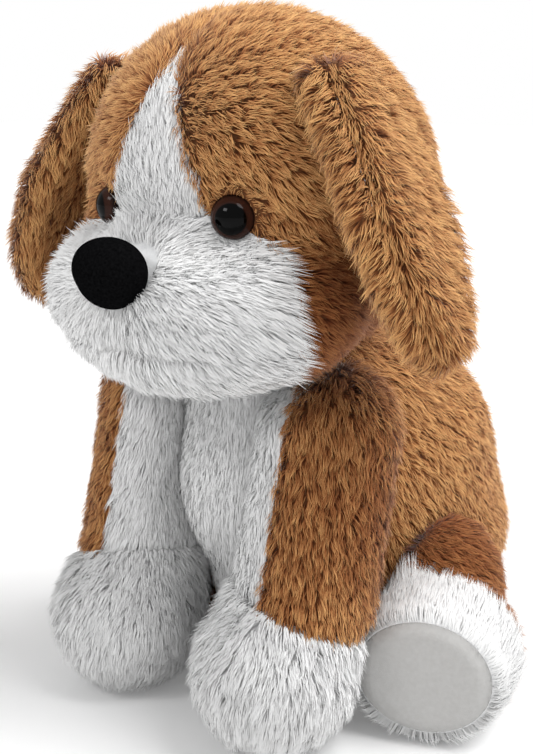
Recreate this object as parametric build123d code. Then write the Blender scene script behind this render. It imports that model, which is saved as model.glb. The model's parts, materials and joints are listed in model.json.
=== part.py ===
from build123d import *
import os
from math import asin, cos, radians, sin

# Sitting plush dog, in millimetres. +Z is up, the dog faces -Y and its left side is +X.
# The origin is the centre of the flat seat panel, on the surface the dog sits on.
# Every soft piece is a plain closed solid; the pile that stands on the fabric is left out.

# ---- driving dimensions -------------------------------------------------------------------
COVER = 3.0          # backing fabric plus the dense root of the pile
GAP = 0.8            # clearance between bodies that move against each other
SEAM = 0.6           # seam allowance, standing just proud of the form it closes
THREAD = 1.4         # sewing thread, doubled

NECK_PIVOT = (0, -70, 170)
NECK_DOME = 45.0
NECK_BALL = 26.0

# torso: height, centre along Y, half width, half depth
TORSO_SECTIONS = [
    (0, 8, 58, 65),
    (25, 7, 70, 91),
    (60, 3, 73, 105),
    (100, -7, 73, 107),
    (140, -14, 66, 96),
    (160, -22, 58, 80),
    (176, -38, 42, 56),
]

CRANIUM = (0, -84, 262)
CRANIUM_R = 82.0
MUZZLE = (0, -138, 216)
MUZZLE_HALF_WIDTH = 70.0
MUZZLE_R = 38.0
CHIN_Z = 200.0
MOUTH_Z = 211.0
MOUTH_LENGTH = 12.0
BLAZE_TOP_Z = 327.0
BLAZE_HALF_WIDTH = 25.0
BLAZE_SHOULDER_Z = 271.0

EYE = (41.0, -150.0, 258.0)
EYE_R = 10.0         # 20 mm safety eye
EYE_RISE = 7.5
EYE_POCKET_R = 12.0
WASHER_R = 9.0
WASHER_T = 2.0
STEM_R = 2.2

NOSE = (0, -176, 234)
NOSE_RADII = (21.0, 13.0, 16.0)

EAR_HINGE = (60.5, -108.0, 318.0)
EAR_TOE = 9.0        # degrees, front edge swung outwards
EAR_ARC_CENTRE = (-260.0, 77.0)   # X, Z of the ear's long bend
EAR_OUTER_R = 416.0
EAR_THICKNESS = 22.0
EAR_LINING = 4.0
# ear outline seen from the side: Y, Z down the front edge to the tip, then up the back edge
EAR_FRONT_EDGE = [(-134, 320), (-151, 268), (-147, 224), (-127, 195)]
EAR_BACK_EDGE = [(-127, 195), (-101, 216), (-82, 262), (-92, 320)]

SHOULDER = (53.0, -96.0, 150.0)
SHOULDER_R = 34.0
CHEST_HALF_WIDTH = 32.0
ANKLE = (52.0, -111.0, 70.0)
ANKLE_R = 28.0
PAW = (50.0, -134.0, 36.0)
PAW_R = 36.0
PAW_TOP_Z = 66.0

HIP = (60.0, -25.0, 50.0)
HIP_FACE_X = 73.0
THIGH_R = 44.0
SOLE = (108.0, -92.0, 35.0)
FOOT_TOE_OUT = 22.0
FOOT_R = 32.0
FOOT_LENGTH = 46.0
FOOT_EDGE = 9.0
CUFF_LENGTH = 42.0

TAIL_ROOT = (0, 112, 50)
TAIL_ROOT_R = 14.0
TAIL_LENGTH = 34.0
TAIL_LEAN = 72.0     # degrees back from upright
TAIL_TIP_R = 8.0
TAIL_WHITE = 15.0

PELLET_BAG = (0, 6, 30)
PELLET_BAG_R = 44.0
PELLET_BAG_HEIGHT = 38.0
PELLET_BAG_EDGE = 17.0

# stretch of the back seam closed by hand, and the blank care label beside it
STITCH_Z = [96, 104, 112, 120, 128, 136]
STITCH_LENGTH = 7.0
LABEL = (20.0, 1.2, 26.0)
LABEL_TOP_Z = 32.0

SIDES = {"left": 1, "right": -1}


# ---- helpers ------------------------------------------------------------------------------
def capsule_x(centre, half_length, radius):
    """Round bar along X with ball ends."""
    straight = half_length - radius
    outline = [
        RadiusArc((-half_length, 0), (-straight, radius), radius),
        Line((-straight, radius), (straight, radius)),
        RadiusArc((straight, radius), (half_length, 0), radius),
        Line((half_length, 0), (-half_length, 0)),
    ]
    return Pos(*centre) * revolve(make_face(outline), Axis.X)


def tapered_capsule(length, big_r, small_r):
    """Ball of big_r at the origin and ball of small_r at the given height, with a cone tangent to both."""
    slope = asin((big_r - small_r) / length)
    low = (big_r * cos(slope), big_r * sin(slope))
    high = (small_r * cos(slope), length + small_r * sin(slope))
    outline = [
        RadiusArc((0, -big_r), low, -big_r),
        Line(low, high),
        RadiusArc(high, (0, length + small_r), -small_r),
        Line((0, length + small_r), (0, -big_r)),
    ]
    return revolve(Plane.XZ * make_face(outline), Axis.Z)


def ball(centre, radius):
    return Pos(*centre) * Sphere(radius)


def block(x0, x1, y0, y1, z0, z1):
    """Axis-aligned box between two corners."""
    size = (x1 - x0, y1 - y0, z1 - z0)
    return Pos((x0 + x1) / 2, (y0 + y1) / 2, (z0 + z1) / 2) * Box(*size)


def side_block(side, x0, x1, y0, y1, z0, z1):
    """The same box for the left side (side = 1) or mirrored for the right (side = -1)."""
    return block(min(side * x0, side * x1), max(side * x0, side * x1), y0, y1, z0, z1)


def rod_x(centre, radius, length):
    return Pos(*centre) * Rot(0, 90, 0) * Cylinder(radius, length)


def mirrored(shape, side):
    return shape if side == 1 else mirror(shape, about=Plane.YZ)


def one(shape, name):
    """The single solid of a boolean result; small leftovers are dropped."""
    solids = sorted(shape.solids(), key=lambda s: s.volume)
    if not solids:
        raise ValueError(f"{name} is empty")
    for left in solids[:-1]:
        print("dropped from", name, round(left.volume, 2), left.center())
    return solids[-1]


nodes = {}


def keep(name, shape):
    nodes[name] = shape


# ---- torso --------------------------------------------------------------------------------
def leg_room(side, grow):
    """Space beside the chest that the front leg swings in."""
    x0 = CHEST_HALF_WIDTH - grow
    low = side_block(side, x0, 120, -260, SHOULDER[1] + SHOULDER_R + 4 + grow, -5, SHOULDER[2])
    hub = rod_x((side * (x0 + 60), SHOULDER[1], SHOULDER[2]), SHOULDER_R + 2 + grow, 120)
    return low + hub


def torso_form(inset):
    sections = [
        Pos(0, cy, max(z, inset)) * Ellipse(rx - inset, ry - inset)
        for z, cy, rx, ry in TORSO_SECTIONS
    ]
    form = loft(sections) + ball(NECK_PIVOT, NECK_DOME - inset)
    for side in SIDES.values():
        form -= leg_room(side, inset)
    return form - ball(TAIL_ROOT, TAIL_ROOT_R + GAP + inset)


def make_torso():
    core = torso_form(COVER)
    skin = torso_form(0) - core
    front = block(-CHEST_HALF_WIDTH, CHEST_HALF_WIDTH, -260, SHOULDER[1] + SHOULDER_R + 4, COVER, 260)
    seat = block(-200, 200, -200, 200, -1, COVER)
    keep("seat_panel", one(skin & seat, "seat_panel"))
    keep("belly_panel", one(skin & front, "belly_panel"))
    back = skin - front - seat

    stitches = [rod_x((0, back_y(z), z), THREAD / 2, STITCH_LENGTH) for z in STITCH_Z]
    keep("body_closing_stitch", Compound(children=stitches))
    for stitch in stitches:
        back -= stitch

    label = Pos(0, back_y(LABEL_TOP_Z), LABEL_TOP_Z - LABEL[2] / 2) * Box(*LABEL)
    keep("sewn_label", label)
    keep("body_back", one(back - label, "body_back"))

    disc = Cylinder(PELLET_BAG_R, PELLET_BAG_HEIGHT)
    bag = Pos(*PELLET_BAG) * fillet(disc.edges().filter_by(GeomType.CIRCLE), PELLET_BAG_EDGE)
    keep("pellet_bag", bag)
    cavity = ball(NECK_PIVOT, NECK_BALL + GAP)
    keep("body_stuffing", one(core - bag - cavity - label, "body_stuffing"))
    keep("neck_stuffing", ball(NECK_PIVOT, NECK_BALL))


def back_y(z):
    """Y of the torso's back on the centre line, straight between the sections."""
    for low, high in zip(TORSO_SECTIONS, TORSO_SECTIONS[1:]):
        if low[0] <= z <= high[0]:
            t = (z - low[0]) / (high[0] - low[0])
            return (low[1] + low[3]) * (1 - t) + (high[1] + high[3]) * t
    raise ValueError(z)


# ---- head ---------------------------------------------------------------------------------
def eye_frame(side):
    """Plane at the eye's seat, its normal pointing out of the head."""
    centre = Vector(side * EYE[0], EYE[1], EYE[2])
    outward = (centre - Vector(*CRANIUM)).normalized()
    return Plane(origin=centre - outward * EYE_RISE / 2, z_dir=outward)


def eye_pocket(side, grow):
    """Hollow that the tightened eye pulls into the face."""
    return eye_frame(side) * Pos(0, 0, 20 - grow) * Cylinder(EYE_POCKET_R + grow, 40)


def head_form(inset):
    form = ball(CRANIUM, CRANIUM_R - inset)
    form += capsule_x(MUZZLE, MUZZLE_HALF_WIDTH - inset, MUZZLE_R - inset)
    form -= ball(NECK_PIVOT, NECK_DOME + GAP + inset)
    for side in SIDES.values():
        form -= eye_pocket(side, inset)
    return form


def blaze_prism():
    low_z = MUZZLE[2] + 20
    low_x = BLAZE_HALF_WIDTH * 1.4
    outline = Polyline(
        (0, BLAZE_TOP_Z),
        (BLAZE_HALF_WIDTH, BLAZE_SHOULDER_Z),
        (low_x, low_z),
        (-low_x, low_z),
        (-BLAZE_HALF_WIDTH, BLAZE_SHOULDER_Z),
        close=True,
    )
    return extrude(Plane.XZ * make_face(outline), amount=300) & block(-99, 99, -300, CRANIUM[1], 0, 400)


def eye_parts(side):
    """Eye dome with its stem, and the washer pressed on behind the fabric."""
    frame = eye_frame(side)
    dome_r = (EYE_R**2 + EYE_RISE**2) / (2 * EYE_RISE)
    dome = frame * (
        Pos(0, 0, EYE_RISE - dome_r) * Sphere(dome_r) & Pos(0, 0, 10) * Box(60, 60, 20)
    )
    stem = frame * Pos(0, 0, -5) * Cylinder(STEM_R, 10.5)
    washer = frame * Pos(0, 0, -COVER - WASHER_T / 2) * Cylinder(WASHER_R, WASHER_T)
    return dome + stem, washer - stem


def nose_parts():
    lobe = Pos(*NOSE) * scale(Sphere(1), by=NOSE_RADII)
    front = lobe & block(-50, 50, -300, NOSE[1] + 3, 0, 400)
    stem = Pos(NOSE[0], NOSE[1] + 13, NOSE[2]) * Rot(90, 0, 0) * Cylinder(STEM_R, 22)
    washer = Pos(NOSE[0], NOSE[1] + 14, NOSE[2]) * Rot(90, 0, 0) * Cylinder(WASHER_R, WASHER_T)
    return front + stem, washer - stem


def make_head():
    core = head_form(COVER)
    skin = head_form(0) - core
    base = ball(NECK_PIVOT, NECK_DOME + GAP + COVER + SEAM)
    cranium = ball(CRANIUM, CRANIUM_R + SEAM)
    chin = block(-100, 100, -250, -60, 0, CHIN_Z)
    blaze = blaze_prism()
    left_half = block(0, 200, -300, 200, 0, 500)

    nose, nose_washer = nose_parts()
    keep("nose", nose)
    keep("nose_washer", nose_washer)
    hardware = [nose, nose_washer]
    for name, side in SIDES.items():
        eye, washer = eye_parts(side)
        keep(f"eye_{name}", eye)
        keep(f"eye_washer_{name}", washer)
        hardware += [eye, washer]

    thread = Pos(0, MUZZLE[1] - MUZZLE_R, MOUTH_Z) * Cylinder(THREAD / 2, MOUTH_LENGTH)
    keep("mouth_stitch", thread)

    keep("head_base_panel", one(skin & base, "head_base_panel"))
    skin -= base
    for piece in hardware + [thread]:
        skin -= piece
        core -= piece
    muzzle = skin - cranium
    keep("chin_panel", one(muzzle & chin, "chin_panel"))
    keep("muzzle_cover", one(muzzle - chin, "muzzle_cover"))
    skin = skin & cranium
    keep("face_blaze", one(skin & blaze, "face_blaze"))
    skin = skin - blaze
    keep("crown_left", one(skin & left_half, "crown_left"))
    keep("crown_right", one(skin - left_half, "crown_right"))
    keep("head_stuffing", one(core, "head_stuffing"))


# ---- ears ---------------------------------------------------------------------------------
def ear_blank(inner_r, outer_r):
    """Curved slab between two radii, cut to the ear's side outline."""
    cx, cz = EAR_ARC_CENTRE
    length = 400
    ring = Cylinder(outer_r, length) - Cylinder(inner_r, length)
    slab = Pos(cx, EAR_HINGE[1], cz) * Rot(90, 0, 0) * ring
    fore = Spline(*EAR_FRONT_EDGE, tangents=[(-0.4, -1), (1, -0.25)])
    aft = Spline(*EAR_BACK_EDGE, tangents=[(1, -0.25), (-0.4, 1)])
    root = [aft @ 1, aft @ 1 + Vector(0, 40), fore @ 0 + Vector(0, 40), fore @ 0]
    outline = make_face([fore, aft, Polyline(*root)])
    prism = extrude(Plane.YZ * outline, amount=300)
    return slab & prism


def place_ear(shape):
    """Swing the ear to its toe angle about the hinge, and trim it at the head."""
    hinge = Pos(*EAR_HINGE)
    turned = hinge * Rot(0, 0, EAR_TOE) * (Pos(*[-c for c in EAR_HINGE]) * shape)
    clear = ball(CRANIUM, CRANIUM_R + GAP)
    above = hinge * Rot(0, 0, EAR_TOE) * Rot(0, -45, 0) * Pos(0, 0, 100) * Box(200, 300, 200)
    return turned - clear - above


def make_ears():
    outer_skin = EAR_OUTER_R - EAR_LINING
    inner_skin = EAR_OUTER_R - EAR_THICKNESS + EAR_LINING
    layers = {
        "ear_outer": (outer_skin, EAR_OUTER_R),
        "ear_wadding": (inner_skin, outer_skin),
        "ear_lining": (EAR_OUTER_R - EAR_THICKNESS, inner_skin),
    }
    for layer, (inner_r, outer_r) in layers.items():
        left = one(place_ear(ear_blank(inner_r, outer_r)), layer)
        for name, side in SIDES.items():
            keep(f"{layer}_{name}", mirrored(left, side))


# ---- front legs ---------------------------------------------------------------------------
def paw_form(inset):
    return ball(PAW, PAW_R - inset) & block(0, 200, -300, 100, inset, 200)


def leg_form(inset):
    """Upper leg: a shoulder ball-end leaning down to the ankle, flat on the chest side."""
    down = Vector(*ANKLE) - Vector(*SHOULDER)
    axis = Plane(origin=SHOULDER, x_dir=(1, 0, 0), z_dir=down)
    form = axis * tapered_capsule(down.length, SHOULDER_R - inset, ANKLE_R - inset)
    chest_face = CHEST_HALF_WIDTH + GAP + inset
    return form & block(chest_face, 200, -300, 100, -10, 300)


def make_front_legs():
    core = leg_form(COVER) + paw_form(COVER)
    skin = (leg_form(0) + paw_form(0)) - core
    paw_zone = block(0, 200, -300, 0, -10, PAW_TOP_Z)
    outer_zone = block(SHOULDER[0], 200, -300, 100, PAW_TOP_Z, 300)
    inner_zone = block(0, SHOULDER[0], -300, 100, PAW_TOP_Z, 300)
    left = {
        "front_paw": skin & paw_zone,
        "front_leg_outer": skin & outer_zone,
        "front_leg_inner": skin & inner_zone,
        "front_leg_stuffing": core,
    }
    for part, shape in left.items():
        solid = one(shape, part)
        for name, side in SIDES.items():
            keep(f"{part}_{name}", mirrored(solid, side))


# ---- hind legs ----------------------------------------------------------------------------
def foot_frame():
    """Plane on the sole, its normal pointing forwards and outwards."""
    toe = radians(FOOT_TOE_OUT)
    return Plane(origin=SOLE, x_dir=(cos(toe), sin(toe), 0), z_dir=(sin(toe), -cos(toe), 0))


def foot_form(inset):
    """Round foot with a softened sole edge, closed by a ball where it enters the thigh."""
    r = FOOT_R - inset
    edge = FOOT_EDGE - inset
    outline = [
        Line((0, -FOOT_LENGTH - r), (0, -inset)),
        Line((0, -inset), (r - edge, -inset)),
        RadiusArc((r - edge, -inset), (r, -inset - edge), edge),
        Line((r, -inset - edge), (r, -FOOT_LENGTH)),
        RadiusArc((r, -FOOT_LENGTH), (0, -FOOT_LENGTH - r), r),
    ]
    return foot_frame() * revolve(Plane.XZ * make_face(outline), Axis.Z)


def hind_form(inset):
    form = ball(HIP, THIGH_R - inset) + foot_form(inset)
    return form & block(HIP_FACE_X + GAP + inset, 300, -300, 300, inset, 300)


def make_hind_legs():
    core = hind_form(COVER)
    skin = hind_form(0) - core
    plane = foot_frame()
    sole_zone = plane * Box(200, 200, 2 * COVER)
    cuff_zone = plane * Pos(0, 0, -CUFF_LENGTH / 2) * Box(200, 200, CUFF_LENGTH)
    left = {
        "hind_sole": skin & sole_zone,
        "hind_foot_cuff": (skin & cuff_zone) - sole_zone,
        "thigh": skin - cuff_zone - sole_zone,
        "hind_leg_stuffing": core,
    }
    for part, shape in left.items():
        solid = one(shape, part)
        for name, side in SIDES.items():
            keep(f"{part}_{name}", mirrored(solid, side))


# ---- tail ---------------------------------------------------------------------------------
def tail_form(inset):
    """Round root, a slight taper and a round tip, along a line leaning back."""
    form = tapered_capsule(TAIL_LENGTH, TAIL_ROOT_R - inset, TAIL_TIP_R - inset)
    return Pos(*TAIL_ROOT) * Rot(-TAIL_LEAN, 0, 0) * form


def make_tail():
    core = tail_form(COVER)
    skin = tail_form(0) - core
    tip_zone = (
        Pos(*TAIL_ROOT)
        * Rot(-TAIL_LEAN, 0, 0)
        * Pos(0, 0, TAIL_LENGTH - TAIL_WHITE + 50)
        * Box(100, 100, 100)
    )
    keep("tail_base", one(skin - tip_zone, "tail_base"))
    keep("tail_tip", one(skin & tip_zone, "tail_tip"))
    keep("tail_stuffing", one(core, "tail_stuffing"))


# ---- build and write ----------------------------------------------------------------------
make_torso()
make_head()
make_ears()
make_front_legs()
make_hind_legs()
make_tail()

os.makedirs("parts", exist_ok=True)
for node_name, node_shape in nodes.items():
    export_step(node_shape, f"parts/{node_name}.step")
print(len(nodes), "nodes written")
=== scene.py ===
import json
import math

import bmesh
import bpy
import numpy as np
from mathutils import Matrix, Vector


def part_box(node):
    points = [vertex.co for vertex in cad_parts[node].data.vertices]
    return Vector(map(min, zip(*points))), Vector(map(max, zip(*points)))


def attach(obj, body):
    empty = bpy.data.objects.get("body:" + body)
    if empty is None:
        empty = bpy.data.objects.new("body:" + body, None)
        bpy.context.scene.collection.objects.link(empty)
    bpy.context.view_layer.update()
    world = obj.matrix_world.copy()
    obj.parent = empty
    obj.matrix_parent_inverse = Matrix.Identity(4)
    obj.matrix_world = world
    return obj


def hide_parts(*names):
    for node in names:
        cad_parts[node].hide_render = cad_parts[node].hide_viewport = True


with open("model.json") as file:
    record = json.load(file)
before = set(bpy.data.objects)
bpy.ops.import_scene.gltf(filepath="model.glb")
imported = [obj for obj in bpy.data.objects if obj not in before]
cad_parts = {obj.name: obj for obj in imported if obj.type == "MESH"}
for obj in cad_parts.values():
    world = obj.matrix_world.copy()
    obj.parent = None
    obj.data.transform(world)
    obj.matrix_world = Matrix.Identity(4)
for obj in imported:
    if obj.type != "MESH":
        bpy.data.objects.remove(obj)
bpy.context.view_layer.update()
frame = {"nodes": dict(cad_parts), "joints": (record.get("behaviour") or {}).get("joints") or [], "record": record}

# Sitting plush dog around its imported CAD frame. Shapes are worked out in millimetres, in the frame's own
# axes (+Z up, nose towards -Y, the dog's left at +X), and written to Blender in metres.
MM = 0.001
SIDES = {"left": 1, "right": -1}
STEP = 3.0                      # grid step of the torso's skin
FINE_STEP = 2.5                 # of the head, ears and legs
TAIL_STEP = 2.0
DENSITY = 1.0


# ---- places from the frame ----------------------------------------------------------------
def span(*nodes):
    """Lowest and highest corner of some CAD nodes, in millimetres."""
    corners = np.array([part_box(node) for node in nodes]) / MM
    return corners[:, 0].min(axis=0), corners[:, 1].max(axis=0)


def joint_at(name):
    joint = next(j for j in frame["joints"] if j["name"] == name)
    return np.array(joint["pos_m"]) / MM


crown_low, crown_high = span("crown_left", "crown_right")
CRANIUM_R = crown_high[0]
CRANIUM = np.array([0, crown_high[1] - CRANIUM_R, crown_high[2] - CRANIUM_R])
muzzle_low, muzzle_high = span("muzzle_cover", "chin_panel")
MUZZLE_R = (muzzle_high[2] - muzzle_low[2]) / 2
MUZZLE = np.array([0, muzzle_low[1] + MUZZLE_R, muzzle_low[2] + MUZZLE_R])
NECK = joint_at("head_turn")
SHOULDER = joint_at("front_leg_left_swing")
HIP = joint_at("hind_leg_left_lift")
TAIL = joint_at("tail_wag")
EAR_HINGE = joint_at("ear_left_lift")
nose_low, nose_high = span("nose")


# ---- distance forms -----------------------------------------------------------------------
def ellipsoid(p, centre, radii):
    q = (p - np.asarray(centre)) / np.asarray(radii)
    k0 = np.linalg.norm(q, axis=1)
    k1 = np.linalg.norm(q / np.asarray(radii), axis=1)
    return k0 * (k0 - 1) / np.maximum(k1, 1e-9)


def ball(p, centre, radius):
    return np.linalg.norm(p - np.asarray(centre), axis=1) - radius


def round_cone(p, a, b, ra, rb):
    a, b = np.asarray(a, float), np.asarray(b, float)
    along = b - a
    t = np.clip((p - a) @ along / (along @ along), 0, 1)
    return np.linalg.norm(p - a - t[:, None] * along, axis=1) - (ra + (rb - ra) * t)


def join(a, b, k):
    """Smooth union."""
    h = np.clip(0.5 + 0.5 * (b - a) / k, 0, 1)
    return b * (1 - h) + a * h - k * h * (1 - h)


def cut(a, b, k):
    """Smooth intersection."""
    return -join(-a, -b, k)


def bump(p, centre, width):
    """1 at the centre, falling off over the width."""
    width = np.asarray(width, float)
    return np.exp(-0.5 * (((p - np.asarray(centre)) / width) ** 2).sum(axis=1))


def flip(p, side):
    return p * np.array([side, 1, 1])


def mirrored(p):
    """Every point moved to the dog's left side."""
    return np.abs(p[:, :1]) * np.array([[1, 0, 0]]) + p * np.array([0, 1, 1])


# ---- body forms ---------------------------------------------------------------------------
EYE = np.array([41.0, -150.0, 258.0])
EYE_R, EYE_RISE = 10.0, 7.5
SOCKET_DEPTH, SOCKET = 7.0, EYE + np.array([0, -4, 0])
FOREHEAD_FLAT = 6.0
BROW_RISE, BROW = 4.0, ((0, -122, 322), (72, 36, 30))
SIDE_GROWTH, TOP_GROWTH = 4, 2  # how far the skin stands out from the CAD cranium
CHEEK = ((44, -124, 218), (38, 40, 33))
MUZZLE_RADII = (69.0, 43.0, 38.0)
MOUTH_DEPTH, MOUTH = 5.0, ((0, -180, 209), (6, 16, 10))
NECK_HOLLOW_R, NECK_KNOB_R, NECK_SEAM_R = 46.5, 44.5, 48.5
SEAT_BULGE = ((0, 4, 58), (74, 103, 63))
BACK_BULGE = ((0, -14, 112), (71, 103, 64))
SHOULDER_BULGE = ((0, -46, 148), (57, 64, 42))
CHEST_BULGE = ((0, -72, 120), (36, 47, 60))
CHEST_X = 32.0                  # plane between the chest and the front legs
LEG_BACK_Y = -58.0
LEG_HUB_R = 36                  # room for the top of the leg
LEG_TOP_R, LEG_END_R = 32.5, 32
ANKLE = np.array([54.0, -114.0, 72.0])
PAW = np.array([51.0, -131.0, 40.0])
PAW_RADII = (35.5, 37, 36.5)
HIP_BALL = np.array([60.0, -25.0, 50.0])
THIGH_R = 44
HIP_FACE_X = 73.8
SOLE = np.array([109.0, -91.0, 37.0])
SOLE_R = 28.5
FOOT_FRONT, FOOT_BACK = 12, 46  # ends of the foot's middle line, from the sole
FOOT_TOE_R, FOOT_HEEL_R = 31, 32
CUFF_DEPTH = 42
FOOT_WIDE = 1.16                # width of the foot over its height
TOE_OUT = math.radians(22)
FOOT_AXIS = np.array([math.sin(TOE_OUT), -math.cos(TOE_OUT), 0])
FOOT_ACROSS = np.cross(FOOT_AXIS, (0, 0, 1))
EAR_TOE = math.radians(9)
EAR_BEND = np.array([-260.0, 77.0])
EAR_MID_R = 405.0
EAR_SEAM = 5.0                  # seam of the ear's outer panel, out from its middle
EAR_RIM = 10.5
EAR_OUTLINE = [(-125, 330), (-137, 300), (-149, 266), (-149, 232), (-141, 210), (-128, 199),
               (-114, 204), (-99, 221), (-86, 243), (-82, 266), (-86, 296), (-93, 330)]
TAIL_LEAN = math.radians(72)
TAIL_TIP = TAIL + 33 * np.array([0, math.sin(TAIL_LEAN), math.cos(TAIL_LEAN)])
TAIL_ROOT_R, TAIL_TIP_R = 14, 7.5
TAIL_WHITE_FROM = 22


def muzzle_form(p):
    return ellipsoid(p, MUZZLE + np.array([0, 1, 0]), MUZZLE_RADII)


def head_form(p):
    q = mirrored(p)
    wide = np.full(len(p), CRANIUM_R + SIDE_GROWTH)
    deep = np.where(p[:, 1] < CRANIUM[1], CRANIUM_R - FOREHEAD_FLAT, CRANIUM_R)
    tall = np.full(len(p), CRANIUM_R + TOP_GROWTH)
    d = ellipsoid(p, CRANIUM, np.stack([wide, deep, tall], axis=1))
    d = d - BROW_RISE * bump(p, *BROW)
    d = join(d, ellipsoid(q, *CHEEK), 14)
    d = join(d, muzzle_form(p), 12)
    d = d + SOCKET_DEPTH * bump(q, SOCKET, (14, 16, 14))
    d = d + MOUTH_DEPTH * bump(p, *MOUTH)
    return cut(d, -ball(p, NECK, NECK_HOLLOW_R), 5)


def chest_half(z):
    """Half width of the chest between the legs, narrower towards the belly."""
    return CHEST_X - 0.24 * np.clip(112 - z, 0, 60)


def leg_room(p):
    """Below zero inside the space that the front legs swing in."""
    hub = np.hypot(p[:, 1] - SHOULDER[1], p[:, 2] - SHOULDER[2]) - LEG_HUB_R
    low = np.maximum(p[:, 1] - LEG_BACK_Y, p[:, 2] - SHOULDER[2])
    return np.maximum(chest_half(p[:, 2]) - np.abs(p[:, 0]), np.minimum(hub, low))


def torso_form(p):
    d = ellipsoid(p, *SEAT_BULGE)
    d = join(d, ellipsoid(p, *BACK_BULGE), 26)
    d = join(d, ellipsoid(p, *SHOULDER_BULGE), 18)
    d = join(d, ellipsoid(p, *CHEST_BULGE), 12)
    d = join(d, ball(p, NECK, NECK_KNOB_R), 12)
    d = cut(d, -leg_room(p), 4)
    d = cut(d, -ball(p, TAIL, TAIL_ROOT_R + 1), 3)
    return cut(d, 0.5 - p[:, 2], 4)


def front_leg_form(p):
    upper = round_cone(p, SHOULDER, ANKLE, LEG_TOP_R, LEG_END_R)
    upper = cut(upper, chest_half(p[:, 2]) + 0.8 - p[:, 0], 6)
    d = join(upper, ellipsoid(p, PAW, PAW_RADII), 14)
    return cut(d, 1.5 - p[:, 2], 6)


def foot_depth(p):
    """Distance in front of the sole plane; below zero behind it."""
    return (p - SOLE) @ FOOT_AXIS


def hind_leg_form(p):
    squeezed = p - ((p - SOLE) @ FOOT_ACROSS * (1 - 1 / FOOT_WIDE))[:, None] * FOOT_ACROSS
    toe, heel = SOLE + FOOT_FRONT * FOOT_AXIS, SOLE - FOOT_BACK * FOOT_AXIS
    foot = round_cone(squeezed, toe, heel, FOOT_TOE_R, FOOT_HEEL_R)
    foot = cut(foot, foot_depth(p), 7)
    d = join(ball(p, HIP_BALL, THIGH_R), foot, 8)
    d = cut(d, HIP_FACE_X - p[:, 0], 4)
    return cut(d, 0.5 - p[:, 2], 3)


def ear_local(p):
    """The ear's own coordinates: distance through its thickness, and Y and Z of its side outline."""
    q = p - EAR_HINGE
    c, s = math.cos(EAR_TOE), math.sin(EAR_TOE)
    x = q[:, 0] * c + q[:, 1] * s + EAR_HINGE[0]
    y = -q[:, 0] * s + q[:, 1] * c + EAR_HINGE[1]
    z = p[:, 2]
    through = np.hypot(x - EAR_BEND[0], z - EAR_BEND[1]) - EAR_MID_R
    return through, y, z


def outline_distance(y, z, outline):
    """Signed distance to a closed outline, below zero inside."""
    pts = np.array(outline, float)
    best = np.full(len(y), 1e9)
    sign = np.ones(len(y))
    for (ay, az), (by, bz) in zip(pts, np.roll(pts, -1, axis=0)):
        ey, ez = by - ay, bz - az
        wy, wz = y - ay, z - az
        t = np.clip((wy * ey + wz * ez) / (ey * ey + ez * ez), 0, 1)
        best = np.minimum(best, (wy - ey * t) ** 2 + (wz - ez * t) ** 2)
        above, below = z >= az, z < bz
        turn = ey * wz - ez * wy > 0
        swap = (above & below & turn) | (~above & ~below & ~turn)
        sign = np.where(swap, -sign, sign)
    return sign * np.sqrt(best)


def ear_form(p):
    through, y, z = ear_local(p)
    curl = 2.5 * np.exp(-(((y + 95) / 16) ** 2))
    through = through + curl - 1.2
    rim = outline_distance(y, z, EAR_OUTLINE)
    d = np.hypot(np.maximum(rim + EAR_RIM, 0), through) - EAR_RIM
    d = d + 1.6 * np.exp(-(((through - EAR_SEAM) / 2.5) ** 2)) * (rim > -EAR_RIM)
    root = (p[:, 2] - EAR_HINGE[2]) * 0.707 - (p[:, 0] - EAR_HINGE[0]) * 0.707
    d = cut(d, root, 5)
    return cut(d, -ball(p, CRANIUM, CRANIUM_R + 1.2), 3)


def tail_form(p):
    return round_cone(p, TAIL, TAIL_TIP, TAIL_ROOT_R, TAIL_TIP_R)


FORMS = {"head": head_form, "torso": torso_form, "tail": tail_form}
for side_name, side in SIDES.items():
    FORMS[f"ear_{side_name}"] = lambda p, k=side: ear_form(flip(p, k))
    FORMS[f"front_leg_{side_name}"] = lambda p, k=side: front_leg_form(flip(p, k))
    FORMS[f"hind_leg_{side_name}"] = lambda p, k=side: hind_leg_form(flip(p, k))


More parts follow.
